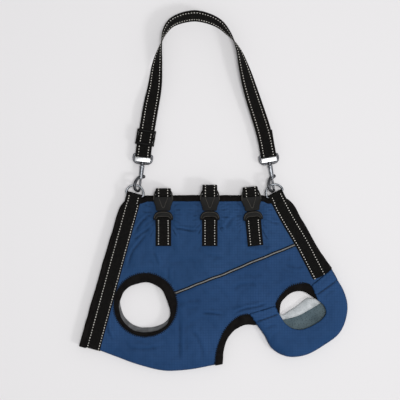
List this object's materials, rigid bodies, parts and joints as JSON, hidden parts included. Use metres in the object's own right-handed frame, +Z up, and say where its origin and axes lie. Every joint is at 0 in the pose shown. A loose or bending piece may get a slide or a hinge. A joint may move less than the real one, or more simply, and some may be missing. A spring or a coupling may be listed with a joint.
{
  "type": "dog full-body lift sling",
  "caption": "Padded full-body lift sling for a dog, folded flat, with leg openings, side-release buckles and a hand strap on swivel bolt snap hooks.",
  "frame": {"origin": "middle of the bounding box on the surface that the sling lies on", "axes": "+X from the neck opening to the rear, +Y from the belly fold to the top of the hand strap, +Z up off the surface"},
  "size_m": [0.4315, 0.5781, 0.0265],
  "materials": {
    "shell_fabric": "woven nylon, satin",
    "foam": "open-cell padding",
    "lining_fabric": "brushed knit",
    "binding_tape": "matt woven tape",
    "webbing": "woven nylon webbing with reflective stitching",
    "reflective_piping": "reflective",
    "nickel": "bright nickel plate",
    "spring_steel": "drawn wire",
    "buckle_plastic": "moulded acetal, fine matt"
  },
  "bodies": {
    "sling": {"back_lining": "lining_fabric", "back_padding": "foam", "back_shell": "shell_fabric", "belly_fold": "shell_fabric", "belly_notch_binding_back": "binding_tape", "belly_notch_binding_front": "binding_tape", "buckle_1_loop": "webbing", "buckle_1_plug": "buckle_plastic", "buckle_1_tab": "webbing", "buckle_2_loop": "webbing", "buckle_2_plug": "buckle_plastic", "buckle_2_tab": "webbing", "buckle_3_loop": "webbing", "buckle_3_plug": "buckle_plastic", "buckle_3_tab": "webbing", "front_leg_binding_back": "binding_tape", "front_leg_binding_front": "binding_tape", "front_lining": "lining_fabric", "front_padding": "foam", "front_shell_lower": "shell_fabric", "front_shell_upper": "shell_fabric", "neck_binding_back": "binding_tape", "neck_binding_front": "binding_tape", "neck_ring_loops": "webbing", "neck_webbing_back": "webbing", "neck_webbing_front": "webbing", "rear_band_back": "shell_fabric", "rear_band_fold": "shell_fabric", "rear_band_front": "shell_fabric", "rear_leg_binding_back": "binding_tape", "rear_leg_binding_front": "binding_tape", "rear_ring_loops": "webbing", "rear_webbing_back": "webbing", "rear_webbing_front": "webbing", "seam_piping": "reflective_piping", "top_binding_back": "binding_tape", "top_binding_front": "binding_tape"},
    "strap": {"hand_strap": "webbing", "strap_return_tail": "webbing", "strap_sewn_end": "webbing", "left_hook_eye": "nickel", "right_hook_eye": "nickel", "neck_d_rings": "nickel", "rear_d_rings": "nickel"},
    "left_hook": {"left_hook_body": "nickel", "left_hook_spring": "spring_steel"},
    "left_bolt": {"left_hook_bolt": "nickel"},
    "right_hook": {"right_hook_body": "nickel", "right_hook_spring": "spring_steel"},
    "right_bolt": {"right_hook_bolt": "nickel"},
    "slider": {"strap_slider": "buckle_plastic"},
    "socket_1": {"buckle_1_socket": "buckle_plastic"},
    "prong_1_left": {"buckle_1_prong_left": "buckle_plastic"},
    "prong_1_right": {"buckle_1_prong_right": "buckle_plastic"},
    "socket_2": {"buckle_2_socket": "buckle_plastic"},
    "prong_2_left": {"buckle_2_prong_left": "buckle_plastic"},
    "prong_2_right": {"buckle_2_prong_right": "buckle_plastic"},
    "socket_3": {"buckle_3_socket": "buckle_plastic"},
    "prong_3_left": {"buckle_3_prong_left": "buckle_plastic"},
    "prong_3_right": {"buckle_3_prong_right": "buckle_plastic"}
  },
  "joints": [
    {"name": "strap_lift", "type": "hinge", "parent": "sling", "child": "strap", "pos_m": [0, -0.0048, 0.013], "axis": [1, 0, 0], "range_deg": [0, 100], "deforming": ["neck_ring_loops", "rear_ring_loops"]},
    {"name": "left_hook_swivel", "type": "hinge", "parent": "strap", "child": "left_hook", "pos_m": [-0.1186, 0.0105, 0.0083], "axis": [0.1045, 0.9945, 0], "range_deg": [0, 30]},
    {"name": "left_bolt_slide", "type": "slide", "parent": "left_hook", "child": "left_bolt", "axis": [0.1045, 0.9945, 0], "range_m": [0, 0.008], "stiffness_N_per_m": 100, "springref_m": -0.004, "deforming": ["left_hook_spring"]},
    {"name": "right_hook_swivel", "type": "hinge", "parent": "strap", "child": "right_hook", "pos_m": [0.0958, 0.0105, 0.0083], "axis": [-0.1633, 0.9866, 0], "range_deg": [0, 30]},
    {"name": "right_bolt_slide", "type": "slide", "parent": "right_hook", "child": "right_bolt", "axis": [-0.1633, 0.9866, 0], "range_m": [0, 0.008], "stiffness_N_per_m": 100, "springref_m": -0.004, "deforming": ["right_hook_spring"]},
    {"name": "slider_slide", "type": "slide", "parent": "strap", "child": "slider", "axis": [0.165, 0.9863, 0], "range_m": [-0.005, 0.035], "deforming": ["strap_return_tail"]},
    {"name": "buckle_1_release", "type": "slide", "parent": "sling", "child": "socket_1", "axis": [0, 1, 0], "range_m": [0, 0.024], "deforming": ["buckle_1_loop", "buckle_1_prong_left", "buckle_1_prong_right"]},
    {"name": "buckle_1_squeeze_left", "type": "hinge", "parent": "sling", "child": "prong_1_left", "pos_m": [-0.0893, -0.0295, 0.0206], "axis": [0, 0, -1], "range_deg": [0, 13], "stiffness_Nm_per_rad": 0.02},
    {"name": "buckle_1_squeeze_right", "type": "hinge", "parent": "sling", "child": "prong_1_right", "pos_m": [-0.0723, -0.0295, 0.0206], "axis": [0, 0, 1], "range_deg": [0, 13], "stiffness_Nm_per_rad": 0.02},
    {"name": "buckle_2_release", "type": "slide", "parent": "sling", "child": "socket_2", "axis": [0, 1, 0], "range_m": [0, 0.024], "deforming": ["buckle_2_loop", "buckle_2_prong_left", "buckle_2_prong_right"]},
    {"name": "buckle_2_squeeze_left", "type": "hinge", "parent": "sling", "child": "prong_2_left", "pos_m": [-0.0149, -0.0295, 0.0206], "axis": [0, 0, -1], "range_deg": [0, 13], "stiffness_Nm_per_rad": 0.02},
    {"name": "buckle_2_squeeze_right", "type": "hinge", "parent": "sling", "child": "prong_2_right", "pos_m": [0.0021, -0.0295, 0.0206], "axis": [0, 0, 1], "range_deg": [0, 13], "stiffness_Nm_per_rad": 0.02},
    {"name": "buckle_3_release", "type": "slide", "parent": "sling", "child": "socket_3", "axis": [-0.0958, 0.9954, 0], "range_m": [0, 0.024], "deforming": ["buckle_3_loop", "buckle_3_prong_left", "buckle_3_prong_right"]},
    {"name": "buckle_3_squeeze_left", "type": "hinge", "parent": "sling", "child": "prong_3_left", "pos_m": [0.05296, -0.03032, 0.0206], "axis": [0, 0, -1], "range_deg": [0, 13], "stiffness_Nm_per_rad": 0.02},
    {"name": "buckle_3_squeeze_right", "type": "hinge", "parent": "sling", "child": "prong_3_right", "pos_m": [0.06988, -0.02869, 0.0206], "axis": [0, 0, 1], "range_deg": [0, 13], "stiffness_Nm_per_rad": 0.02}
  ],
  "couplings": [
    {"joint": "buckle_1_squeeze_right", "follows": "buckle_1_squeeze_left", "ratio": 1},
    {"joint": "buckle_2_squeeze_right", "follows": "buckle_2_squeeze_left", "ratio": 1},
    {"joint": "buckle_3_squeeze_right", "follows": "buckle_3_squeeze_left", "ratio": 1}
  ]
}
